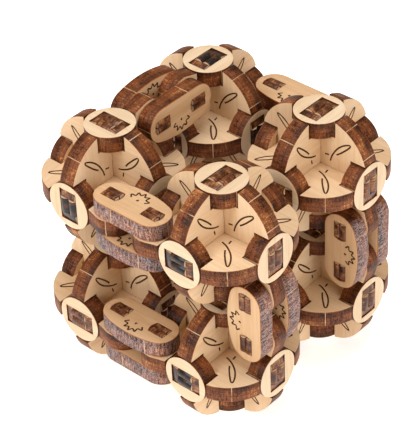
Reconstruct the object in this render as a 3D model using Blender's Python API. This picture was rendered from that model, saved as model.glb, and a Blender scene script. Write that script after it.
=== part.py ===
"""A folding cube puzzle of laser-cut plywood, in metres, +Z up.

Eight balls stand in a cube, two by two by two. Each ball is three crossed discs with six round
caps pressed on their tabs. Eight links join the balls in one closed loop, and each link is two
plates on two pins, which hold a lug of one disc of each ball between them, so that the loop
folds at sixteen pins. The origin is below the middle of the cube, on the surface it stands on.
"""

import math

import bmesh
import bpy
from mathutils import Matrix, Vector

MM = 0.001

# Driving dimensions.
PLY = 4.0 * MM  # thickness of every piece
PITCH = 32.5 * MM  # between neighbouring balls' centres in the closed cube
PIN_HALF_SPACING = 5.8 * MM  # from a link's middle to each of its pins
PIN_OUT = 10.8 * MM  # from the balls' centres out to their link's pins
CAP_FACE = 14.4 * MM  # from a ball's centre to a cap's outer face
CAP_RADIUS = 5.9 * MM
RUNNING_GAP = 0.2 * MM  # between a lug and a plate, and between crossed discs
FIT_GAP = 0.15 * MM  # between a piece and the hole it is pressed into

# Discs.
RIM_CENTRE = 3.25 * MM  # each quarter's rim is an arc about this point on its diagonal
RIM_RADIUS = 11.45 * MM
NECK_REACH = 6.0 * MM  # from the centre to the inner end of a slot
TAB_HALF = 2.3 * MM  # half the width of a cap's tab at its root
TAB_TIP = 2.25 * MM  # and at its shoulder
TAB_RISE = 0.5 * MM  # how far its rounded top stands out of the cap
TAB_SHOULDER = 0.2 * MM
STRIP_SINK = 0.1 * MM  # the strips beside the tab end just under the cap's face
CAP_HOLE = (8.0 * MM, 4.7 * MM)  # across the crossing, and along the tab's width
LUG_RADIUS = 4.6 * MM
PIN_HOLE_RADIUS = 2.65 * MM

# Links.
PLATE_END_RADIUS = 4.3 * MM  # about each pin; the straight side touches both ends
PLATE_BULGE = 5.15 * MM  # from the pins' line to the crown of the curved side
PIN_THICK = 4.0 * MM  # along the link
PIN_WIDE = 2.9 * MM
PIN_RISE = 0.45 * MM  # how far a pin stands out of each plate
HOLE_LONG = PIN_THICK + 2 * FIT_GAP
HOLE_WIDE = PIN_WIDE + 2 * FIT_GAP
HOLE_CURVE = 0.3 * MM  # one short end of a plate's hole is bowed by this much
STUB_INSET = 0.3 * MM  # a stub pin stops this far short of the middle layer

PIN_ALONG = PITCH / 2 - PIN_HALF_SPACING  # from a ball's centre to its pin, along the link
FRONT_REACH = PITCH / 2 + PIN_OUT + PLATE_BULGE  # out to the crown of a plate
BACK_REACH = PITCH / 2 + CAP_FACE + TAB_RISE  # out to a tab on the side without links
CUBE_CENTRE = Vector(((BACK_REACH - FRONT_REACH) / 2, 0, FRONT_REACH))

# The corners of the cube, as seen by someone who faces its front edge.
CORNERS = {
    "top_left": (-1, -1, 1),
    "top_front": (1, -1, 1),
    "top_right": (1, 1, 1),
    "top_back": (-1, 1, 1),
    "bottom_left": (-1, -1, -1),
    "bottom_front": (1, -1, -1),
    "bottom_right": (1, 1, -1),
    "bottom_back": (-1, 1, -1),
}
# A disc's middle axis carries the tabs that fill a cap's middle. The other discs pass it in
# their slots, which run along their slot axis. The top left ball is built the other way round.
DISCS = {"disc_xy": ("x", "y"), "disc_yz": ("y", "z"), "disc_zx": ("z", "x")}
MIRRORED_BALLS = ("top_left",)

# link: (first corner, second corner, outward direction, side on which the first plate lies,
# whether the first plate bulges outwards). The first plate's side is along the pins' axis.
LINKS = {
    "link_top_left_front": ("top_left", "top_front", (0, -1, 0), (0, 0, 1), False),
    "link_bottom_left_front": ("bottom_left", "bottom_front", (0, -1, 0), (0, 0, 1), True),
    "link_upright_front": ("bottom_front", "top_front", (1, 0, 0), (0, -1, 0), False),
    "link_upright_right": ("bottom_right", "top_right", (1, 0, 0), (0, -1, 0), True),
    "link_top_left_back": ("top_left", "top_back", (0, 0, 1), (1, 0, 0), False),
    "link_top_back_right": ("top_back", "top_right", (0, 1, 0), (0, 0, 1), False),
    "link_bottom_back_right": ("bottom_back", "bottom_right", (0, 1, 0), (0, 0, 1), True),
    "link_bottom_left_back": ("bottom_left", "bottom_back", (0, 0, -1), (1, 0, 0), True),
}
# The tree of moving bodies: child, parent, and the link and ball whose pin joins them.
TREE = (
    ("link_top_left_front", "ball_top_left"),
    ("ball_top_front", "link_top_left_front"),
    ("link_upright_front", "ball_top_front"),
    ("ball_bottom_front", "link_upright_front"),
    ("link_bottom_left_front", "ball_bottom_front"),
    ("ball_bottom_left", "link_bottom_left_front"),
    ("link_top_left_back", "ball_top_left"),
    ("ball_top_back", "link_top_left_back"),
    ("link_top_back_right", "ball_top_back"),
    ("ball_top_right", "link_top_back_right"),
    ("link_upright_right", "ball_top_right"),
    ("ball_bottom_right", "link_upright_right"),
    ("link_bottom_back_right", "ball_bottom_right"),
    ("ball_bottom_back", "link_bottom_back_right"),
    ("link_bottom_left_back", "ball_bottom_back"),
)
# The loop is left open here: this pin is two stubs that don't enter the ball's lug.
OPEN_PIVOT = ("link_bottom_left_back", "bottom_left")

AXES = {"x": Vector((1, 0, 0)), "y": Vector((0, 1, 0)), "z": Vector((0, 0, 1))}


def clear_scene():
    for thing in list(bpy.data.objects):
        bpy.data.objects.remove(thing, do_unlink=True)


def plywood(name, colour, roughness):
    material = bpy.data.materials.new(name)
    material.use_nodes = True
    shader = material.node_tree.nodes["Principled BSDF"]
    shader.inputs["Base Color"].default_value = (*colour, 1)
    shader.inputs["Roughness"].default_value = roughness
    shader.inputs["Metallic"].default_value = 0
    return material


def arc(centre, radius, first, last, steps):
    """Points along an arc, with both ends; the angles are in degrees."""
    angles = [math.radians(first + (last - first) * i / steps) for i in range(steps + 1)]
    return [(centre[0] + radius * math.cos(a), centre[1] + radius * math.sin(a)) for a in angles]


def hull(points):
    """The convex outline of some points, counter-clockwise."""

    def half(ordered):
        chain = []
        for p in ordered:
            while len(chain) > 1:
                (ax, ay), (bx, by) = chain[-2:]
                if (bx - ax) * (p[1] - ay) - (by - ay) * (p[0] - ax) > 1e-12:
                    break
                chain.pop()
            chain.append(p)
        return chain[:-1]

    ordered = sorted(set(points))
    return half(ordered) + half(ordered[::-1])


def flat_mesh(name, outline, holes, thickness):
    """A flat piece in the XY plane, centred on it, made from a filled 2D curve."""
    curve = bpy.data.curves.new(name, "CURVE")
    curve.dimensions = "2D"
    curve.fill_mode = "BOTH"
    curve.extrude = thickness / 2
    for points in [outline, *holes]:
        spline = curve.splines.new("POLY")
        spline.points.add(len(points) - 1)
        for point, (x, y) in zip(spline.points, points):
            point.co = (x, y, 0, 1)
        spline.use_cyclic_u = True
    guide = bpy.data.objects.new(name, curve)
    bpy.context.scene.collection.objects.link(guide)
    mesh = bpy.data.meshes.new_from_object(guide.evaluated_get(bpy.context.evaluated_depsgraph_get()))
    bpy.data.objects.remove(guide)
    shape = bmesh.new()
    shape.from_mesh(mesh)
    bmesh.ops.remove_doubles(shape, verts=shape.verts, dist=1e-6)
    bmesh.ops.recalc_face_normals(shape, faces=shape.faces)
    shape.to_mesh(mesh)
    shape.free()
    mesh.name = name
    return mesh


def joined_mesh(name, mesh, pieces):
    """The union of a mesh with others, each given with the matrix that places it."""
    base = bpy.data.objects.new(name, mesh)
    bpy.context.scene.collection.objects.link(base)
    helpers = []
    for piece, place in pieces:
        helper = bpy.data.objects.new(name + "_joined", piece)
        helper.matrix_world = place
        bpy.context.scene.collection.objects.link(helper)
        union = base.modifiers.new("join", "BOOLEAN")
        union.operation = "UNION"
        union.object = helper
        helpers.append(helper)
    result = bpy.data.meshes.new_from_object(base.evaluated_get(bpy.context.evaluated_depsgraph_get()))
    for thing in [base, *helpers]:
        bpy.data.objects.remove(thing)
    result.name = name
    return result


def quarter_outline(lug):
    """One quarter of a disc, from its middle axis (X) to its slot axis (Y), cap seats included.

    lug is the pin's place in the quarter, or None where the quarter has no lug.
    """
    seat = CAP_FACE - PLY - RUNNING_GAP
    side = CAP_RADIUS + RUNNING_GAP
    half_slot = PLY / 2 + RUNNING_GAP
    strip_edge = CAP_HOLE[0] / 2 - FIT_GAP
    strip_top = CAP_FACE - STRIP_SINK
    start = math.degrees(math.asin((side - RIM_CENTRE) / RIM_RADIUS))
    rim = arc((RIM_CENTRE, RIM_CENTRE), RIM_RADIUS, start, 90 - start, 4)
    if lug:
        lobe = arc(lug, LUG_RADIUS, -30, 120, 10)
        rim = [p for p in hull(rim + lobe + [(0, 0)]) if p != (0, 0)]
        rim = [p for p in rim if p[0] > side - 1e-9 and p[1] > side - 1e-9]
    return [
        (CAP_FACE + TAB_RISE, 0),
        (CAP_FACE + TAB_SHOULDER, TAB_TIP),
        (seat, TAB_HALF),
        (seat, side),
        *rim,
        (side, seat),
        (strip_edge, seat),
        (strip_edge, strip_top),
        (half_slot, strip_top),
        (half_slot, NECK_REACH),
    ]


def disc_mesh(name, lugs):
    """A disc with the two caps of its middle axis, which lies along X; its slots run along Y.

    lugs maps the signs of a quarter to the pin's place there, both distances positive.
    """
    outline = []
    for signs, backwards in (((1, 1), False), ((-1, 1), True), ((-1, -1), False), ((1, -1), True)):
        quarter = [(x * signs[0], y * signs[1]) for x, y in quarter_outline(lugs.get(signs))]
        outline += quarter[:0:-1] + [quarter[0]] if backwards else quarter
    outline = [p for i, p in enumerate(outline) if p != outline[i - 1]]
    reach, half = NECK_REACH + RUNNING_GAP, PLY / 2 + RUNNING_GAP
    holes = [[(-reach, -half), (reach, -half), (reach, half), (-reach, half)]]
    for signs, (x, y) in lugs.items():
        holes.append(arc((x * signs[0], y * signs[1]), PIN_HOLE_RADIUS, 0, 330, 11))
    disc = flat_mesh(name + "_flat", outline, holes, PLY)
    return joined_mesh(name, disc, [(cap_mesh(), cap_place(side)) for side in (1, -1)])


def cap_mesh():
    """A cap with the two pockets that the strips of the crossing disc fill."""
    rim = arc((0, 0), CAP_RADIUS, 0, 342, 19)
    inner, outer, half = PLY / 2 + RUNNING_GAP / 2, CAP_HOLE[0] / 2, CAP_HOLE[1] / 2
    pockets = [
        [(-half, inner * s), (half, inner * s), (half, outer * s), (-half, outer * s)]
        for s in (1, -1)
    ]
    return flat_mesh("cap", rim, pockets, PLY)


def cap_place(side):
    """Turns a cap from the XY plane to face along X, with its pockets above and below the disc."""
    turn = Matrix(((0, 0, 1), (1, 0, 0), (0, 1, 0))).to_4x4()
    return Matrix.Translation((side * (CAP_FACE - PLY / 2), 0, 0)) @ turn


def plate_mesh(name):
    """A link's plate along X: straight on its +Y side, bulging on its -Y side."""
    extra = PLATE_BULGE - PLATE_END_RADIUS
    crown = (PIN_HALF_SPACING**2 - extra**2) / (2 * extra)
    lean = math.degrees(math.atan2(PIN_HALF_SPACING, crown))
    outline = (
        arc((PIN_HALF_SPACING, 0), PLATE_END_RADIUS, -90 + lean, 90, 8)
        + arc((-PIN_HALF_SPACING, 0), PLATE_END_RADIUS, 90, 270 - lean, 8)
        + arc((0, crown), crown + PLATE_BULGE, -90 - lean, -90 + lean, 6)[1:-1]
    )
    holes = []
    for x in (-PIN_HALF_SPACING, PIN_HALF_SPACING):
        near, far, half = x - HOLE_LONG / 2, x + HOLE_LONG / 2, HOLE_WIDE / 2
        bowed = [(near, -half), (near - HOLE_CURVE, 0), (near, half)]
        holes.append([(far, -half), (far, half), *bowed[::-1]])
    return flat_mesh(name, outline, holes, PLY)


def pin_mesh(name, length):
    """A pin along Z, centred, thick along X."""
    shape = bmesh.new()
    bmesh.ops.create_cube(shape, size=1)
    bmesh.ops.scale(shape, vec=(PIN_THICK, PIN_WIDE, length), verts=shape.verts)
    mesh = bpy.data.meshes.new(name)
    shape.to_mesh(mesh)
    shape.free()
    return mesh


def corner_place(corner):
    return CUBE_CENTRE + Vector(CORNERS[corner]) * (PITCH / 2)


def link_axes(link):
    """A link's middle, its direction from the first corner to the second, and its pins' axis."""
    first, second, out, first_side, _ = LINKS[link]
    ends = corner_place(first), corner_place(second)
    along = (ends[1] - ends[0]).normalized()
    return (ends[0] + ends[1]) / 2 + Vector(out) * PIN_OUT, along, Vector(first_side)


def pin_place(link, corner):
    middle, along, _ = link_axes(link)
    toward = 1 if LINKS[link][1] == corner else -1
    return middle + along * (toward * PIN_HALF_SPACING)


def frame(x, y, origin):
    """The matrix that carries X and Y to the two directions given and the origin to a point."""
    turn = Matrix((x, y, x.cross(y))).transposed().to_4x4()
    return Matrix.Translation(origin) @ turn


def lugs_of(corner, middle_axis, slot_axis):
    """The lugs that a ball's disc has: the signs of each quarter, and its pin's distances."""
    lugs = {}
    for link, (first, second, out, _, _) in LINKS.items():
        if corner not in (first, second):
            continue
        pin = pin_place(link, corner) - corner_place(corner)
        if abs(pin.dot(middle_axis.cross(slot_axis))) > 1e-9:
            continue
        across = pin.dot(middle_axis), pin.dot(slot_axis)
        signs = tuple(1 if a > 0 else -1 for a in across)
        lugs[signs] = tuple(round(abs(a), 9) for a in across)
    return lugs


def body_rig(collection):
    """An empty on each body's pivot, parented as the bodies are joined."""
    rig = {}
    pivots = {"ball_top_left": corner_place("top_left")}
    for child, parent in TREE:
        link, ball = (child, parent) if child.startswith("link") else (parent, child)
        pivots[child] = pin_place(link, ball.removeprefix("ball_"))
    parents = dict(TREE)
    for body, place in pivots.items():
        pivot = bpy.data.objects.new("pivot_" + body, None)
        pivot.empty_display_size = PLY
        collection.objects.link(pivot)
        rig[body] = pivot
        if body in parents:
            pivot.parent = rig[parents[body]]
            pivot.location = place - pivots[parents[body]]
        else:
            pivot.location = place
    return rig, pivots


def add_part(name, mesh, material, collection, pivot, pivot_place, place):
    part = bpy.data.objects.new(name, mesh)
    part.matrix_local = Matrix.Translation(-pivot_place) @ place
    part.parent = pivot
    if not mesh.materials:
        mesh.materials.append(material)
    collection.objects.link(part)
    return part


def build_balls(collection, rig, pivots, material):
    shared = {}
    for corner in CORNERS:
        body = "ball_" + corner
        for disc, axes in DISCS.items():
            if corner in MIRRORED_BALLS:
                axes = axes[::-1]
            middle_axis, slot_axis = AXES[axes[0]], AXES[axes[1]]
            lugs = lugs_of(corner, middle_axis, slot_axis)
            kind = tuple(sorted(lugs.items()))
            if kind not in shared:
                shared[kind] = disc_mesh(f"disc_shape_{len(shared) + 1}", lugs)
                shared[kind].set_sharp_from_angle(angle=math.radians(30))
            place = frame(middle_axis, slot_axis, corner_place(corner))
            add_part(
                f"{body}_{disc}", shared[kind], material, collection, rig[body], pivots[body], place
            )


def build_links(collection, rig, pivots, plate_material, pin_material):
    plate = plate_mesh("plate_shape")
    pin = pin_mesh("pin_shape", 3 * PLY + 2 * RUNNING_GAP + 2 * PIN_RISE)
    stub = pin_mesh("stub_shape", PLY - STUB_INSET + PIN_RISE)
    plate_offset = PLY + RUNNING_GAP
    for link, (first, second, out, _, first_bulges_out) in LINKS.items():
        middle, along, side = link_axes(link)
        for name, toward, bulges_out in (("a", 1, first_bulges_out), ("b", -1, not first_bulges_out)):
            crown = Vector(out) * (1 if bulges_out else -1)
            place = frame(-crown.cross(side), -crown, middle + side * (toward * plate_offset))
            add_part(
                f"{link}_plate_{name}", plate, plate_material, collection, rig[link], pivots[link], place
            )
        for corner in (first, second):
            at = pin_place(link, corner)
            name = f"{link}_pin_{corner.split('_')[0 if first.split('_')[1] == second.split('_')[1] else 1]}"
            across = side.cross(along)
            if (link, corner) != OPEN_PIVOT:
                place = frame(along, across, at)
                add_part(name, pin, pin_material, collection, rig[link], pivots[link], place)
                continue
            reach = plate_offset + (PIN_RISE + STUB_INSET) / 2
            for suffix, toward in (("stub_a", 1), ("stub_b", -1)):
                place = frame(along, across, at + side * (toward * reach))
                add_part(
                    f"{name}_{suffix}", stub, pin_material, collection, rig[link], pivots[link], place
                )


def main():
    clear_scene()
    collection = bpy.data.collections.new("folding_cube_puzzle")
    bpy.context.scene.collection.children.link(collection)
    disc_ply = plywood("birch_disc", (0.72, 0.50, 0.29), 0.6)
    plate_ply = plywood("birch_plate", (0.76, 0.55, 0.33), 0.6)
    pin_ply = plywood("charred_pin", (0.13, 0.055, 0.025), 0.5)
    rig, pivots = body_rig(collection)
    build_balls(collection, rig, pivots, disc_ply)
    build_links(collection, rig, pivots, plate_ply, pin_ply)


main()
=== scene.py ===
"""Looks of the folding cube puzzle: every cut piece of ply by itself, on the CAD model's bodies."""

import math

import bmesh
import bpy
from mathutils import Matrix, Vector


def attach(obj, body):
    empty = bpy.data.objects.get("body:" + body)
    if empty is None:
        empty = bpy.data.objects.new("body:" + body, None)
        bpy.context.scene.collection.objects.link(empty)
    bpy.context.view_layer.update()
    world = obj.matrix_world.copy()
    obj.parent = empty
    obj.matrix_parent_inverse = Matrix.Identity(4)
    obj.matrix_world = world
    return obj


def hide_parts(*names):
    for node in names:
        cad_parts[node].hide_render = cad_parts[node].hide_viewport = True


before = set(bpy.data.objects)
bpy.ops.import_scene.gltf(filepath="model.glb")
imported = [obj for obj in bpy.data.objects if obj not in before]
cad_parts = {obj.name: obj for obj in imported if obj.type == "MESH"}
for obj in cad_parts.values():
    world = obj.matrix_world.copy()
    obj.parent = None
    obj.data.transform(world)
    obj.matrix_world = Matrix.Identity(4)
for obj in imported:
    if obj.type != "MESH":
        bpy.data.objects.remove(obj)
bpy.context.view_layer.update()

MM = 0.001

# Sizes that the CAD model has too.
PLY = 4.0 * MM
PITCH = 32.5 * MM
PIN_HALF_SPACING = 5.8 * MM
PIN_OUT = 10.8 * MM
CAP_FACE = 14.4 * MM
CAP_RADIUS = 5.9 * MM
GAP = 0.2 * MM
RIM_CENTRE = 3.25 * MM
RIM_RADIUS = 11.45 * MM
NECK_REACH = 6.0 * MM
CAP_HOLE = (8.1 * MM, 4.9 * MM)
LUG_RADIUS = 4.6 * MM
PIN_HOLE_RADIUS = 2.65 * MM
PLATE_END_RADIUS = 4.3 * MM
PLATE_BULGE = 5.15 * MM
PIN_RISE = 0.3 * MM
HOLE_CURVE = 0.5 * MM
STUB_INSET = 0.3 * MM
SEAT = CAP_FACE - PLY - 0.05 * MM  # where a disc ends under its caps

# Sizes of what only shows here.
SEAM = 0.04 * MM  # half the gap between two halves of a disc, or two strips of a pin
TAB_HALF = 2.33 * MM
TAB_SHOULDER = -0.15 * MM
TAB_RISE = 0.5 * MM
STRIP_INNER = 2.12 * MM
STRIP_OUTER = 3.88 * MM
STRIP_RISE = 0.3 * MM
STRIP_WIDE = 1.53 * MM
STRIP_NOSE = 0.16 * MM
HOLE_LONG = 4.25 * MM
HOLE_WIDE = 3.15 * MM
# The arris is coloured partly as scorch and partly as a painted highlight along the face border.
ARRIS = 0.11 * MM  # the scorched, worn corner of a cut edge
CAP_EDGE = CAP_RADIUS - 0.12 * MM  # a plate's bulge passes close by it when a link is turned
TICK = 0.19 * MM  # a spot where the piece was held in its sheet
LINE = 0.39 * MM  # an engraved line's width
SLOT = PLY / 2 + 2 * SEAM  # half the width of a disc's slot

CENTRE = Vector((0, 0, PITCH / 2 + PIN_OUT + PLATE_BULGE))
CENTRE.x = (CAP_FACE + TAB_RISE - PIN_OUT - PLATE_BULGE) / 2

CORNERS = {
    "top_left": (-1, -1, 1),
    "top_front": (1, -1, 1),
    "top_right": (1, 1, 1),
    "top_back": (-1, 1, 1),
    "bottom_left": (-1, -1, -1),
    "bottom_front": (1, -1, -1),
    "bottom_right": (1, 1, -1),
    "bottom_back": (-1, 1, -1),
}
DISCS = {"disc_xy": ("x", "y"), "disc_yz": ("y", "z"), "disc_zx": ("z", "x")}
MIRRORED_BALLS = ("top_left",)
LINKS = {
    "link_top_left_front": ("top_left", "top_front", (0, -1, 0), (0, 0, 1), False),
    "link_bottom_left_front": ("bottom_left", "bottom_front", (0, -1, 0), (0, 0, 1), True),
    "link_upright_front": ("bottom_front", "top_front", (1, 0, 0), (0, -1, 0), False),
    "link_upright_right": ("bottom_right", "top_right", (1, 0, 0), (0, -1, 0), True),
    "link_top_left_back": ("top_left", "top_back", (0, 0, 1), (1, 0, 0), False),
    "link_top_back_right": ("top_back", "top_right", (0, 1, 0), (0, 0, 1), False),
    "link_bottom_back_right": ("bottom_back", "bottom_right", (0, 1, 0), (0, 0, 1), True),
    "link_bottom_left_back": ("bottom_left", "bottom_back", (0, 0, -1), (1, 0, 0), True),
}
OPEN_PIVOT = ("link_bottom_left_back", "bottom_left")
AXES = {"x": Vector((1, 0, 0)), "y": Vector((0, 1, 0)), "z": Vector((0, 0, 1))}
# Links whose plates get the painted floor reflection (pale grey flecks) on their outward upright cut
# edges.
PAINTED_SHEEN_LINKS = tuple(LINKS)[:4]
# A cap's tick, from the long way of its hole, and the side it is on for three ways a cap faces.
CAP_TICK = math.radians(-107)
TICK_SIDES = {
    (0, 0, 1): Vector((1, 0.9, 0)),
    (0, -1, 0): Vector((-1, 0, -1)),
    (1, 0, 0): Vector((0, -1, 0)),
}
# The other ticks: by angle on a half-disc's rim at +X and -X, or where an edge is nearest to a point.
RIM_TICKS = {1: (30, 68), -1: (47,)}
LUG_TICK = (30 * MM, 17 * MM)
PLATE_TICKS = [(2.5 * MM, 9 * MM), (-12 * MM, 0), (6 * MM, -9 * MM)]
# Faces that look this way are engraved.
ENGRAVED = Vector((1, -1, 1))
# Tab ends that the laser burnt to a shiny black: (ball, direction).
BLACK_TABS = {
    ("top_left", (0, -1, 0)),
    ("top_front", (0, -1, 0)),
    ("bottom_front", (0, -1, 0)),
    ("top_back", (0, 0, 1)),
    ("top_back", (1, 0, 0)),
}

CAMERA_ANGLES = (42.95, 37.53, -2.55)  # azimuth, elevation and roll, in degrees
CAMERA_PLACE = (-0.078, 0.049, 14.081)  # to its right, up and back from the middle, in pitches
CAMERA_LENS = 164.5


# Materials ---------------------------------------------------------------------------------


class Nodes:
    """Short calls for a material's node tree."""

    def __init__(self, name):
        self.material = bpy.data.materials.new(name)
        self.material.use_nodes = True
        self.tree = self.material.node_tree
        self.shader = self.tree.nodes["Principled BSDF"]

    def add(self, kind, settings=(), **inputs):
        node = self.tree.nodes.new(kind)
        for key, value in dict(settings).items():
            setattr(node, key, value)
        for key, value in inputs.items():
            self.put(node.inputs[key.replace("_", " ")], value)
        return node

    def put(self, socket, value):
        if isinstance(value, bpy.types.NodeSocket):
            self.tree.links.new(value, socket)
        else:
            socket.default_value = value

    def math(self, operation, a, b=0.0, c=0.0):
        node = self.add("ShaderNodeMath", {"operation": operation})
        self.put(node.inputs[0], a)
        self.put(node.inputs[1], b)
        self.put(node.inputs[2], c)
        return node.outputs[0]

    def mix(self, factor, a, b, blend="MIX"):
        node = self.add("ShaderNodeMix", {"data_type": "RGBA", "blend_type": blend})
        self.put(node.inputs[0], factor)
        self.put(node.inputs[6], a)
        self.put(node.inputs[7], b)
        return node.outputs[2]

    def ramp(self, value, *stops):
        node = self.add("ShaderNodeValToRGB")
        elements = node.color_ramp.elements
        while len(elements) < len(stops):
            elements.new(0.5)
        for element, (place, colour) in zip(elements, stops):
            element.position = place
            element.color = colour if len(colour) == 4 else (*colour, 1)
        self.put(node.inputs[0], value)
        return node.outputs[0]

    def noise(self, scale, stretch=(1, 1, 1), detail=3.0, roughness=0.55, per_piece=True):
        """Noise in the piece's own frame, shifted from piece to piece."""
        place = self.add("ShaderNodeTexCoord").outputs["Object"]
        if per_piece:
            shift = self.add("ShaderNodeObjectInfo").outputs["Random"]
            far = self.add("ShaderNodeVectorMath", {"operation": "SCALE"})
            far.inputs[0].default_value = (0.37, 0.53, 0.71)
            self.put(far.inputs["Scale"], shift)
            both = self.add("ShaderNodeVectorMath", {"operation": "ADD"})
            self.put(both.inputs[0], place)
            self.put(both.inputs[1], far.outputs[0])
            place = both.outputs[0]
        mapping = self.add("ShaderNodeMapping")
        self.put(mapping.inputs["Vector"], place)
        mapping.inputs["Scale"].default_value = stretch
        node = self.add("ShaderNodeTexNoise", Scale=scale, Detail=detail, Roughness=roughness)
        self.put(node.inputs["Vector"], mapping.outputs[0])
        return node.outputs["Fac"]

    def height(self, signed=False):
        """How far the place is from the middle of the ply: 0 there and 1 (or -1) at its faces."""
        place = self.add("ShaderNodeTexCoord").outputs["Object"]
        split = self.add("ShaderNodeSeparateXYZ", Vector=place)
        away = split.outputs["Z"] if signed else self.math("ABSOLUTE", split.outputs["Z"])
        return self.math("DIVIDE", away, PLY / 2)

    def bump(self, height, strength, distance):
        node = self.add("ShaderNodeBump", Height=height, Strength=strength, Distance=distance)
        self.tree.links.new(node.outputs[0], self.shader.inputs["Normal"])

    def random(self):
        return self.add("ShaderNodeObjectInfo").outputs["Random"]


def birch_face(name, pale, dark):
    """Sanded birch: pale, with faint long grain, small flecks and a soft mottle."""
    n = Nodes(name)
    along = (0.07, 1, 1)
    streaks = n.noise(1500, along, 4, 0.6)
    broad = n.noise(260, along, 2, 0.5)
    mottle = n.noise(120, (1, 1, 1), 3, 0.6)
    colour = n.mix(n.ramp(broad, (0.3, (0, 0, 0)), (0.72, (1, 1, 1))), pale, dark)
    fine = n.ramp(streaks, (0.42, (1, 1, 1)), (0.62, (0.93, 0.89, 0.83)), (0.75, (0.86, 0.78, 0.68)))
    colour = n.mix(0.8, colour, fine, "MULTIPLY")
    soft = n.ramp(mottle, (0.35, (0.96, 0.94, 0.91)), (0.65, (1, 1, 1)))
    colour = n.mix(0.8, colour, soft, "MULTIPLY")
    shade = n.ramp(n.random(), (0, (0.955, 0.94, 0.915)), (1, (1, 1, 1)))
    colour = n.mix(1.0, colour, shade, "MULTIPLY")
    n.put(n.shader.inputs["Base Color"], colour)
    n.put(n.shader.inputs["Roughness"], n.ramp(streaks, (0.3, (0.52,) * 3), (0.7, (0.64,) * 3)))
    n.shader.inputs["Specular IOR Level"].default_value = 0.35
    n.bump(streaks, 0.25, 0.03 * MM)
    return n.material


def cut_edge(name, deep, brown, tan, rough, painted_sheen=0.0):
    """A laser-cut edge: charred plies with glue lines between them and fine burnt streaks.

    The last argument is how much painted sheen shows: pale grey flecks, standing in for the bright floor's
    reflection, on upright edges that face -Y or +X in the world.
    """
    n = Nodes(name)
    side = n.height(signed=True)
    strokes = n.noise(2900, (1, 1, 0.16), 3, 0.6)
    specks = n.noise(3600, (1, 1, 0.8), 3, 0.65)
    blotch = n.noise(210, (1, 1, 1.6), 3, 0.55)
    level = n.math("ADD", n.math("MULTIPLY", strokes, 0.3), n.math("MULTIPLY", specks, 0.42))
    level = n.math("ADD", level, n.math("MULTIPLY", blotch, 0.46))
    colour = n.ramp(level, (0.505, deep), (0.575, brown), (0.635, brown), (0.735, tan))
    # The glue lines burn darkest, and the side the laser comes in by is darker than the other.
    ply = n.ramp(
        n.math("MULTIPLY_ADD", side, 0.5, 0.5),
        (0.02, (1.6, 1.4, 1.2)),
        (0.07, (0.95, 0.95, 0.95)),
        (0.3, (1.6, 1.55, 1.45)),
        (0.35, (0.75, 0.7, 0.66)),
        (0.41, (1.45, 1.4, 1.3)),
        (0.6, (1.1, 1.05, 1.0)),
        (0.66, (0.5, 0.46, 0.43)),
        (0.72, (0.8, 0.76, 0.72)),
        (0.92, (0.5, 0.46, 0.42)),
        (0.975, (1.3, 1.05, 0.85)),
    )
    colour = n.mix(0.85, colour, ply, "MULTIPLY")
    # Painted reflection: grey-violet flecks mixed in where the world normal faces -Y or +X, standing in
    # for the bright floor's sheen on charred edges; it moves when a piece turns.
    if painted_sheen:
        normal = n.add("ShaderNodeNewGeometry").outputs["Normal"]
        split = n.add("ShaderNodeSeparateXYZ", Vector=normal)
        outward = n.math("MAXIMUM", split.outputs["X"], n.math("MULTIPLY", split.outputs["Y"], -1.0))
        upright = n.ramp(outward, (0.55, (0, 0, 0)), (0.9, (1, 1, 1)))
        grain = n.math("ADD", n.math("MULTIPLY", strokes, 0.45), n.math("MULTIPLY", specks, 0.55))
        flecks = n.ramp(grain, (0.44, (0, 0, 0)), (0.6, (1, 1, 1)))
        share = n.math("MULTIPLY", n.math("MULTIPLY", upright, flecks), painted_sheen)
        colour = n.mix(share, colour, (0.46, 0.41, 0.43, 1))
    n.put(n.shader.inputs["Base Color"], colour)
    n.put(n.shader.inputs["Roughness"], n.ramp(level, (0.45, (rough,) * 3), (0.75, (rough + 0.2,) * 3)))
    n.shader.inputs["Specular IOR Level"].default_value = 0.22
    n.bump(level, 0.7, 0.08 * MM)
    return n.material


def tab_end(name, dark, brown, pale):
    """The burnt end of a tab or a pin: plies across it, dark glue lines and paler patches."""
    n = Nodes(name)
    patches = n.noise(620, (1, 1, 1), 3, 0.6)
    grain = n.noise(2600, (1, 1, 1), 2, 0.6)
    level = n.math("ADD", n.math("MULTIPLY", patches, 0.75), n.math("MULTIPLY", grain, 0.25))
    colour = n.ramp(level, (0.4, dark), (0.52, brown), (0.68, pale))
    ply = n.ramp(
        n.height(),
        (0.0, (1.2, 1.15, 1.1)),
        (0.16, (1.0, 1.0, 1.0)),
        (0.21, (0.3, 0.26, 0.24)),
        (0.27, (1.35, 1.3, 1.2)),
        (0.54, (0.9, 0.85, 0.8)),
        (0.6, (0.28, 0.24, 0.22)),
        (0.67, (1.6, 1.5, 1.35)),
        (0.85, (1.0, 0.95, 0.9)),
        (0.97, (0.5, 0.45, 0.4)),
    )
    colour = n.mix(0.9, colour, ply, "MULTIPLY")
    n.put(n.shader.inputs["Base Color"], colour)
    n.put(n.shader.inputs["Roughness"], n.ramp(level, (0.4, (0.3,) * 3), (0.7, (0.55,) * 3)))
    n.shader.inputs["Specular IOR Level"].default_value = 0.4
    n.bump(level, 0.5, 0.06 * MM)
    return n.material


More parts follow.
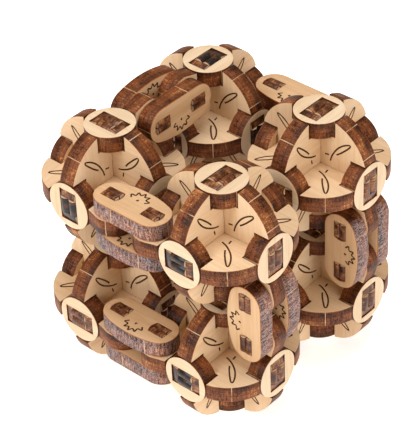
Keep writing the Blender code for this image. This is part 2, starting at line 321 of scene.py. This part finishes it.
def charred(name, colour, rough, coat=0.0, warm=None):
    """Wood burnt black or nearly so, with a fine crust; warm is a brown that shows through."""
    n = Nodes(name)
    crust = n.noise(1400, (1, 1, 0.4), 4, 0.6)
    tone = n.ramp(crust, (0.35, tuple(c * 0.5 for c in colour)), (0.7, tuple(c * 1.7 for c in colour)))
    if warm:
        patches = n.noise(520, (1, 1, 1.5), 3, 0.6)
        tone = n.mix(n.ramp(patches, (0.5, (0, 0, 0)), (0.64, (1, 1, 1))), tone, (*warm, 1))
    n.put(n.shader.inputs["Base Color"], tone)
    n.put(n.shader.inputs["Roughness"], n.ramp(crust, (0.3, (rough,) * 3), (0.7, (rough + 0.12,) * 3)))
    n.shader.inputs["Specular IOR Level"].default_value = 0.2
    n.shader.inputs["Coat Weight"].default_value = coat
    n.shader.inputs["Coat Roughness"].default_value = 0.16
    n.bump(crust, 0.35, 0.04 * MM)
    return n.material


def torn_wood(name):
    """Raw fibres where a holding bridge was snapped."""
    n = Nodes(name)
    fibre = n.noise(2600, (1, 1, 0.15), 3, 0.6)
    tone = n.ramp(fibre, (0.38, (0.2, 0.09, 0.035)), (0.46, (0.5, 0.31, 0.16)), (0.7, (0.72, 0.53, 0.34)))
    n.put(n.shader.inputs["Base Color"], tone)
    n.shader.inputs["Roughness"].default_value = 0.8
    n.bump(fibre, 0.5, 0.05 * MM)
    return n.material


FACE = birch_face("birch_face", (0.81, 0.615, 0.41, 1), (0.74, 0.52, 0.31, 1))
PLATE_FACE = birch_face("birch_plate_face", (0.72, 0.505, 0.305, 1), (0.64, 0.41, 0.22, 1))
CAP_FACE_WOOD = birch_face("birch_cap_face", (0.80, 0.655, 0.47, 1), (0.735, 0.565, 0.37, 1))
DEEP, BROWN, TAN = (0.026, 0.0075, 0.0025), (0.148, 0.044, 0.0125), (0.42, 0.185, 0.07)
EDGE = cut_edge("cut_edge", DEEP, BROWN, TAN, 0.45)
# Cut edge with painted reflection flecks on upright edges that face -Y or +X.
PAINTED_SHEEN_EDGE = cut_edge("cut_edge_painted_sheen", DEEP, BROWN, TAN, 0.42, 0.6)
LINE_BURN = charred("engraved_line", (0.085, 0.034, 0.012), 0.8)
BLACK = charred("black_char", (0.011, 0.008, 0.008), 0.28, 0.26, (0.085, 0.032, 0.014))
BROWN_END = tab_end("tab_end", (0.024, 0.007, 0.0025), (0.145, 0.043, 0.0125), (0.42, 0.205, 0.08))
TORN = torn_wood("torn_bridge")
# Arris colour: scorched wood lifted to a painted highlight line along the face border.
ARRIS_SCORCH_AND_HIGHLIGHT = cut_edge("scorched_arris_and_highlight", (0.15, 0.05, 0.014), (0.31, 0.12, 0.038), (0.44, 0.21, 0.085), 0.5)

# Places in the list of a piece's materials. A face's own material comes first.
EDGE_SLOT, TORN_SLOT, BROWN_SLOT, BLACK_SLOT, ARRIS_SLOT = 1, 3, 4, 5, 6


def ply_materials(face, edge):
    """No material is listed twice: the Boolean of the grooves would drop the second one's place."""
    return [face, edge, LINE_BURN, TORN, BROWN_END, BLACK, ARRIS_SCORCH_AND_HIGHLIGHT]


# Outlines ----------------------------------------------------------------------------------


def arc(centre, radius, first, last, steps):
    angles = [math.radians(first + (last - first) * i / steps) for i in range(steps + 1)]
    return [(centre[0] + radius * math.cos(a), centre[1] + radius * math.sin(a)) for a in angles]


def hull(points):
    """The convex outline of some points, counter-clockwise."""

    def half(ordered):
        chain = []
        for p in ordered:
            while len(chain) > 1:
                (ax, ay), (bx, by) = chain[-2:]
                if (bx - ax) * (p[1] - ay) - (by - ay) * (p[0] - ax) > 1e-12:
                    break
                chain.pop()
            chain.append(p)
        return chain[:-1]

    ordered = sorted(set(points))
    return half(ordered) + half(ordered[::-1])


def smooth(points, steps=6):
    """A Catmull-Rom curve through the points."""
    ends = [points[0], *points, points[-1]]
    curve = []
    for a, b, c, d in zip(ends, ends[1:], ends[2:], ends[3:]):
        for i in range(steps):
            t = i / steps
            curve.append(
                tuple(
                    0.5
                    * (
                        2 * b[k]
                        + (c[k] - a[k]) * t
                        + (2 * a[k] - 5 * b[k] + 4 * c[k] - d[k]) * t * t
                        + (3 * b[k] - a[k] - 3 * c[k] + d[k]) * t**3
                    )
                    for k in (0, 1)
                )
            )
    return [*curve, points[-1]]


def with_ticks(outline, ticks):
    """The outline with a short stretch marked at each tick: a list of (x, y, marked from here)."""
    points = [(x, y, False) for x, y in outline]
    for tx, ty in ticks:
        best = None
        for i, (ax, ay, _) in enumerate(points):
            bx, by, _ = points[(i + 1) % len(points)]
            long = math.hypot(bx - ax, by - ay)
            if long < 1e-9:
                continue
            t = ((tx - ax) * (bx - ax) + (ty - ay) * (by - ay)) / long**2
            margin = (TICK / 2 + 0.01 * MM) / long
            if margin >= 0.5:
                continue
            t = min(max(t, margin), 1 - margin)
            away = math.hypot(ax + (bx - ax) * t - tx, ay + (by - ay) * t - ty)
            if best is None or away < best[0]:
                best = (away, i, t, TICK / 2 / long)
        _, i, t, half = best
        ax, ay, _ = points[i]
        bx, by, _ = points[(i + 1) % len(points)]
        first = (ax + (bx - ax) * (t - half), ay + (by - ay) * (t - half), True)
        last = (ax + (bx - ax) * (t + half), ay + (by - ay) * (t + half), False)
        points[i + 1 : i + 1] = [first, last]
    return points


# Meshes ------------------------------------------------------------------------------------

MESHES = {}


def slab(name, outline, holes, materials, ticks=(), ends=()):
    """A flat cut piece in the XY plane; finished later breaks its arrises, coloured as scorch with a
    painted highlight.

    ends lists (test, material index) for edge faces that differ, by the middle of the face.
    """
    shape = bmesh.new()
    rims = {1: [], -1: []}
    for number, points in enumerate([outline, *holes]):
        marked = with_ticks(points, ticks if number == 0 else ())
        rings = {}
        for side in (1, -1):
            ring = [shape.verts.new((x, y, side * PLY / 2)) for x, y, _ in marked]
            rings[side] = ring
            rims[side] += [shape.edges.new((ring[i - 1], ring[i])) for i in range(len(ring))]
        for i, (x, y, is_tick) in enumerate(marked):
            j = (i + 1) % len(marked)
            face = shape.faces.new((rings[-1][i], rings[-1][j], rings[1][j], rings[1][i]))
            face.material_index = TORN_SLOT if is_tick else EDGE_SLOT
            middle = ((x + marked[j][0]) / 2, (y + marked[j][1]) / 2)
            for test, index in ends:
                if test(*middle):
                    face.material_index = index
    for side in (1, -1):
        bmesh.ops.triangle_fill(shape, edges=rims[side], use_beauty=True)
    bmesh.ops.recalc_face_normals(shape, faces=shape.faces)
    for face in shape.faces:
        face.smooth = True
    mesh = bpy.data.meshes.new(name)
    shape.to_mesh(mesh)
    shape.free()
    for material in materials:
        mesh.materials.append(material)
    return mesh


def grooves(name, strokes, side):
    """Round-bottomed cutters along lines on one face of a piece; side is 1 or -1."""
    guides = []
    for points in strokes:
        curve = bpy.data.curves.new(name, "CURVE")
        curve.dimensions = "3D"
        curve.bevel_depth = LINE / 2
        curve.bevel_resolution = 1
        curve.use_fill_caps = True
        spline = curve.splines.new("POLY")
        spline.points.add(len(points) - 1)
        for point, (x, y) in zip(spline.points, points):
            point.co = (x, y, side * PLY / 2, 1)
        curve.materials.append(LINE_BURN)
        guide = bpy.data.objects.new(name, curve)
        bpy.context.scene.collection.objects.link(guide)
        guides.append(guide)
    return guides


def finished(name, mesh, cutters=()):
    """The mesh with its arrises broken and its lines engraved, as a mesh of its own."""
    base = bpy.data.objects.new(name, mesh)
    bpy.context.scene.collection.objects.link(base)
    bevel = base.modifiers.new("arris", "BEVEL")
    bevel.width = ARRIS
    bevel.segments = 2
    bevel.limit_method = "ANGLE"
    bevel.angle_limit = math.radians(40)
    bevel.material = ARRIS_SLOT
    made = []
    graph = bpy.context.evaluated_depsgraph_get()
    for cutter in cutters:
        solid = bpy.data.meshes.new_from_object(cutter.evaluated_get(graph))
        helper = bpy.data.objects.new(name + "_cutter", solid)
        bpy.context.scene.collection.objects.link(helper)
        made += [helper, cutter]
        cut = base.modifiers.new("engrave", "BOOLEAN")
        cut.operation = "DIFFERENCE"
        cut.solver = "EXACT"
        cut.use_self = True
        cut.material_mode = "TRANSFER"
        cut.object = helper
    graph = bpy.context.evaluated_depsgraph_get()
    result = bpy.data.meshes.new_from_object(base.evaluated_get(graph))
    for thing in [base, *made]:
        bpy.data.objects.remove(thing)
    result.name = name
    result.set_sharp_from_angle(angle=math.radians(32))
    return result


def leaf(signs):
    """A leaf with its stem and a dash, in one quarter of a disc."""
    scale = PITCH
    blade = [(0.114, 0.146), (0.156, 0.158), (0.2, 0.18), (0.241, 0.209), (0.274, 0.243)]
    blade += [(0.299, 0.28), (0.311, 0.311), (0.301, 0.315), (0.28, 0.3), (0.242, 0.264)]
    blade += [(0.21, 0.23), (0.185, 0.198)]
    dash = [(0.161, 0.134), (0.153, 0.099)]
    return [
        [(x * scale * signs[0], y * scale * signs[1]) for x, y in smooth(stroke)]
        for stroke in (blade, dash)
    ]


def sun():
    """Half a sun: a dot and a toothed line round it, opening towards a plate's straight side."""
    centre = (0, -0.048 * PITCH)
    tooth, valley = 0.084 * PITCH, 0.058 * PITCH
    places = []
    for i in range(11):
        angle = math.radians(-90 - 87.5 + 17.5 * i)
        radius = valley if i % 2 == 0 else tooth
        places.append((centre[0] + radius * math.cos(angle), centre[1] + radius * math.sin(angle)))
    dot = arc(centre, 0.14 * MM, 0, 330, 11)
    return [smooth(places, 5), dot]


def half_outline(lugs):
    """Half a disc, above its middle axis (X); its slots run along its slot axis (Y)."""
    side = CAP_RADIUS + GAP
    start = math.degrees(math.asin((side - RIM_CENTRE) / RIM_RADIUS))
    crown = CAP_FACE + TAB_RISE
    round_top = CAP_FACE + STRIP_RISE
    quarters = []
    for sign in (1, -1):
        rim = arc((RIM_CENTRE, RIM_CENTRE), RIM_RADIUS, start, 90 - start, 14)
        lug = lugs.get(sign)
        if lug:
            lobe = arc(lug, LUG_RADIUS, -30, 120, 24)
            rim = [p for p in hull(rim + lobe + [(0, 0)]) if p != (0, 0)]
            rim = [p for p in rim if p[0] > side - 1e-9 and p[1] > side - 1e-9]
        bump = [
            (crown - (TAB_RISE - TAB_SHOULDER) * abs(2 * t - 1) ** 2.4, SEAM + (TAB_HALF - SEAM) * t)
            for t in [i / 12 for i in range(13)]
        ]
        strip = [
            (m, math.sqrt(round_top**2 - m**2))
            for m in [STRIP_OUTER + (STRIP_INNER - STRIP_OUTER) * i / 3 for i in range(4)]
        ]
        quarter = [
            *bump,
            (SEAT, TAB_HALF),
            (SEAT, side),
            *rim,
            (side, SEAT),
            (STRIP_OUTER, SEAT),
            *strip,
            (SLOT, SEAT),
            (SLOT, NECK_REACH),
        ]
        quarters.append([(x * sign, y) for x, y in quarter])
    reach = NECK_REACH + 0.1 * MM
    return [
        *quarters[0],
        *quarters[1][::-1],
        (-reach, SEAM),
        (-reach, SLOT),
        (reach, SLOT),
        (reach, SEAM),
    ]


def half_disc(lugs, side, black):
    """lugs maps 1 and -1, the sides along X, to pins; side is the engraved face.

    black is which ends are black: the tabs at +X and -X, then the strips to the +X and -X side.
    """
    key = ("half", tuple(sorted(lugs.items())), side, black)
    if key in MESHES:
        return MESHES[key]
    name = f"half_disc_{len(MESHES) + 1}"
    outline = half_outline(lugs)
    holes = [
        arc((pin[0] * sign, pin[1]), PIN_HOLE_RADIUS, 0, 348, 29) for sign, pin in lugs.items()
    ]
    ticks = []
    for sign, angles in RIM_TICKS.items():
        if sign in lugs:
            ticks.append((sign * LUG_TICK[0], LUG_TICK[1]))
            continue
        for angle in angles:
            a = math.radians(angle)
            place = (RIM_CENTRE + RIM_RADIUS * math.cos(a), RIM_CENTRE + RIM_RADIUS * math.sin(a))
            ticks.append((sign * place[0], place[1]))
    top = CAP_FACE + TAB_SHOULDER
    tests = [
        lambda x, y: x > top and y < TAB_HALF,
        lambda x, y: x < -top and y < TAB_HALF,
        lambda x, y: y > top - GAP and 0 < x < STRIP_OUTER,
        lambda x, y: y > top - GAP and -STRIP_OUTER < x < 0,
    ]
    ends = [(test, BLACK_SLOT if is_black else BROWN_SLOT) for test, is_black in zip(tests, black)]
    mesh = slab(name, outline, holes, ply_materials(FACE, EDGE), ticks, ends)
    strokes = [s for sign in (1, -1) if sign not in lugs for s in leaf((sign, 1))]
    MESHES[key] = finished(name, mesh, grooves(name, strokes, side))
    return MESHES[key]


def cap():
    if "cap" not in MESHES:
        outline = arc((0, 0), CAP_EDGE, 0, 355, 71)
        x, y = CAP_HOLE[0] / 2, CAP_HOLE[1] / 2
        hole = [(-x, -y), (x, -y), (x, y), (-x, y)]
        ticks = [(CAP_EDGE * math.cos(CAP_TICK), CAP_EDGE * math.sin(CAP_TICK))]
        mesh = slab("cap", outline, [hole], ply_materials(CAP_FACE_WOOD, EDGE), ticks)
        MESHES["cap"] = finished("cap", mesh)
    return MESHES["cap"]


def plate(side, edge):
    """A link's plate: straight on +Y and bulging on -Y; side is the engraved face."""
    key = ("plate", side, edge.name)
    if key in MESHES:
        return MESHES[key]
    extra = PLATE_BULGE - PLATE_END_RADIUS
    crown = (PIN_HALF_SPACING**2 - extra**2) / (2 * extra)
    lean = math.degrees(math.atan2(PIN_HALF_SPACING, crown))
    outline = (
        arc((PIN_HALF_SPACING, 0), PLATE_END_RADIUS, -90 + lean, 90, 20)
        + arc((-PIN_HALF_SPACING, 0), PLATE_END_RADIUS, 90, 270 - lean, 20)
        + arc((0, crown), crown + PLATE_BULGE, -90 - lean, -90 + lean, 14)[1:-1]
    )
    holes = []
    for x in (-PIN_HALF_SPACING, PIN_HALF_SPACING):
        near, far, half = x - HOLE_LONG / 2, x + HOLE_LONG / 2, HOLE_WIDE / 2
        bow = [
            (near - HOLE_CURVE * (1 - t * t), half * t) for t in [1 - i / 4 for i in range(9)]
        ]
        holes.append([(far, -half), (far, half), *bow])
    name = f"plate_{len(MESHES) + 1}"
    mesh = slab(name, outline, holes, ply_materials(PLATE_FACE, edge), PLATE_TICKS)
    MESHES[key] = finished(name, mesh, grooves("sun", sun(), side))
    return MESHES[key]


def pin_strip(length):
    """A strip of a pin, which lies along X; its ends are cut edges."""
    key = ("strip", round(length, 7))
    if key not in MESHES:
        x, y = length / 2, STRIP_WIDE / 2
        outline = [(-x + STRIP_NOSE, -y), (x - STRIP_NOSE, -y)]
        outline += [(x, -y * 0.45), (x, y * 0.45), (x - STRIP_NOSE, y)]
        outline += [(-x + STRIP_NOSE, y), (-x, y * 0.45), (-x, -y * 0.45)]
        materials = [FACE, BROWN_END, LINE_BURN, TORN, BLACK, BLACK, BROWN_END]
        mesh = slab("pin_strip", outline, [], materials)
        MESHES[key] = finished("pin_strip", mesh)
    return MESHES[key]


# Placing -----------------------------------------------------------------------------------


def corner_place(corner):
    return CENTRE + Vector(CORNERS[corner]) * (PITCH / 2)


def pin_place(link, corner):
    first, second, out, _, _ = LINKS[link]
    ends = corner_place(first), corner_place(second)
    along = (ends[1] - ends[0]).normalized()
    toward = 1 if second == corner else -1
    return (ends[0] + ends[1]) / 2 + Vector(out) * PIN_OUT + along * (toward * PIN_HALF_SPACING)


def frame_at(x, y, origin):
    turn = Matrix((x, y, x.cross(y))).transposed().to_4x4()
    return Matrix.Translation(origin) @ turn


PIECES = bpy.data.collections.new("plywood_pieces")
bpy.context.scene.collection.children.link(PIECES)


def place(name, mesh, matrix, body, nodes, slot_name):
    piece = bpy.data.objects.new(name, mesh)
    PIECES.objects.link(piece)
    piece.matrix_world = matrix
    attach(piece, body)
    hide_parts(*nodes)
    return piece


def direction(vector):
    return tuple(round(c) for c in vector)


def build_balls():
    words = {(1, 0, 0): "east", (-1, 0, 0): "west", (0, 1, 0): "north", (0, -1, 0): "south"}
    words |= {(0, 0, 1): "top", (0, 0, -1): "under"}
    for corner in CORNERS:
        body, middle = "ball_" + corner, corner_place(corner)
        for disc, axes in DISCS.items():
            if corner in MIRRORED_BALLS:
                axes = axes[::-1]
            m, e = AXES[axes[0]], AXES[axes[1]]
            node = f"{body}_{disc}"
            for half, sign in (("a", 1), ("b", -1)):
                x, y = m * sign, e * sign
                lugs = {}
                for link, (first, second, *_) in LINKS.items():
                    pin = pin_place(link, corner) - middle
                    if corner not in (first, second) or abs(pin.dot(x.cross(y))) > 1e-9 or pin.dot(y) < 0:
                        continue
                    lugs[1 if pin.dot(x) > 0 else -1] = (
                        round(abs(pin.dot(x)), 7),
                        round(abs(pin.dot(y)), 7),
                    )
                side = 1 if x.cross(y).dot(ENGRAVED) > 0 else -1
                black = [(corner, direction(x * s)) in BLACK_TABS for s in (1, -1)]
                far = [(x * s).dot(ENGRAVED) < 0 for s in (1, -1)]
                black += [(corner, direction(y)) in BLACK_TABS and f for f in far]
                place(
                    f"{node}_half_{half}",
                    half_disc(lugs, side, tuple(black)),
                    frame_at(x, y, middle),
                    body,
                    [node],
                    "birch_disc",
                )
                across = m.cross(e) * sign
                tick = across * math.cos(CAP_TICK) + x.cross(across) * math.sin(CAP_TICK)
                if tick.dot(TICK_SIDES.get(direction(x), tick)) < 0:
                    across = -across
                place(
                    f"{body}_cap_{words[direction(x)]}",
                    cap(),
                    frame_at(across, x.cross(across), middle + x * (CAP_FACE - PLY / 2)),
                    body,
                    [node],
                    "birch_disc",
                )


def build_links():
    plate_offset = PLY + GAP
    length = 3 * PLY + 2 * GAP + 2 * PIN_RISE
    stub = PLY - STUB_INSET + PIN_RISE
    for link, (first, second, out, first_side, first_bulges_out) in LINKS.items():
        side, out = Vector(first_side), Vector(out)
        ends = corner_place(first), corner_place(second)
        middle = (ends[0] + ends[1]) / 2 + out * PIN_OUT
        along = (ends[1] - ends[0]).normalized()
        for name, toward, bulges_out in (("a", 1, first_bulges_out), ("b", -1, not first_bulges_out)):
            up = out * (-1 if bulges_out else 1)
            x = up.cross(side)
            engraved = 1 if side.dot(ENGRAVED) > 0 else -1
            node = f"{link}_plate_{name}"
            matrix = frame_at(x, up, middle + side * (toward * plate_offset))
            edge = PAINTED_SHEEN_EDGE if link in PAINTED_SHEEN_LINKS else EDGE
            place(node + "_board", plate(engraved, edge), matrix, link, [node], "birch_plate")
        sharing = first.split("_")[1] == second.split("_")[1]
        for corner in (first, second):
            at = pin_place(link, corner)
            name = f"{link}_pin_{corner.split('_')[0 if sharing else 1]}"
            across = side.cross(along)
            if (link, corner) == OPEN_PIVOT:
                reach = plate_offset + (PIN_RISE + STUB_INSET) / 2
                runs = [(name + "_stub_a", stub, reach), (name + "_stub_b", stub, -reach)]
            else:
                runs = [(name, length, 0)]
            for node, long, shift in runs:
                for strip, sign in (("strip_a", 1), ("strip_b", -1)):
                    spot = at + side * shift + across * (sign * (STRIP_WIDE / 2 + SEAM))
                    matrix = frame_at(side, across, spot)
                    place(f"{node}_{strip}", pin_strip(long), matrix, link, [node], "charred_pin")


# Stage -------------------------------------------------------------------------------------


def build_camera():
    """The camera looks down on the cube's front edge."""
    azimuth, elevation, roll = (math.radians(a) for a in CAMERA_ANGLES)
    back = Vector(
        (
            math.sin(azimuth) * math.cos(elevation),
            -math.cos(azimuth) * math.cos(elevation),
            math.sin(elevation),
        )
    )
    right = Vector((0, 0, 1)).cross(back).normalized()
    up = back.cross(right)
    rolled_right = right * math.cos(roll) + up * math.sin(roll)
    rolled_up = up * math.cos(roll) - right * math.sin(roll)
    turn = Matrix((rolled_right, rolled_up, back)).transposed().to_4x4()
    data = bpy.data.cameras.new("camera")
    data.lens = CAMERA_LENS
    data.clip_start, data.clip_end = 0.01, 20
    camera = bpy.data.objects.new("camera", data)
    aside, above, away = CAMERA_PLACE
    eye = back * away + rolled_right * aside + rolled_up * above
    camera.matrix_world = Matrix.Translation(CENTRE + eye * PITCH) @ turn
    bpy.context.scene.collection.objects.link(camera)
    bpy.context.scene.camera = camera


def area_light(name, place_at, size, power, colour=(0.98, 1, 1.06)):
    data = bpy.data.lights.new(name, "AREA")
    data.shape = "DISK"
    data.size = size
    data.energy = power
    data.color = colour
    light = bpy.data.objects.new(name, data)
    light.location = CENTRE + Vector(place_at)
    light.rotation_euler = (-Vector(place_at)).to_track_quat("-Z", "Y").to_euler()
    bpy.context.scene.collection.objects.link(light)


def build_stage():
    n = Nodes("pale_floor")
    n.shader.inputs["Base Color"].default_value = (0.95, 0.95, 0.95, 1)
    n.shader.inputs["Roughness"].default_value = 0.9
    n.shader.inputs["Specular IOR Level"].default_value = 0.1
    n.shader.inputs["Emission Color"].default_value = (1, 1, 1, 1)
    n.shader.inputs["Emission Strength"].default_value = 0.62
    shape = bmesh.new()
    bmesh.ops.create_grid(shape, x_segments=1, y_segments=1, size=2.5)
    mesh = bpy.data.meshes.new("floor")
    shape.to_mesh(mesh)
    shape.free()
    mesh.materials.append(n.material)
    floor = bpy.data.objects.new("floor", mesh)
    bpy.context.scene.collection.objects.link(floor)
    world = bpy.data.worlds.new("studio")
    world.use_nodes = True
    world.node_tree.nodes["Background"].inputs["Color"].default_value = (1, 0.77, 0.53, 1)
    world.node_tree.nodes["Background"].inputs["Strength"].default_value = 0.44
    bpy.context.scene.world = world
    area_light("overhead", (0.0, 0.0, 0.9), 0.7, 4.3)
    area_light("key", (-0.2, -0.7, 0.55), 0.5, 3.7)
    area_light("fill", (0.8, -0.1, 0.45), 0.5, 2.25)
    bpy.context.scene.view_settings.view_transform = "Standard"
    bpy.context.scene.view_settings.look = "None"


build_balls()
build_links()
build_camera()
build_stage()
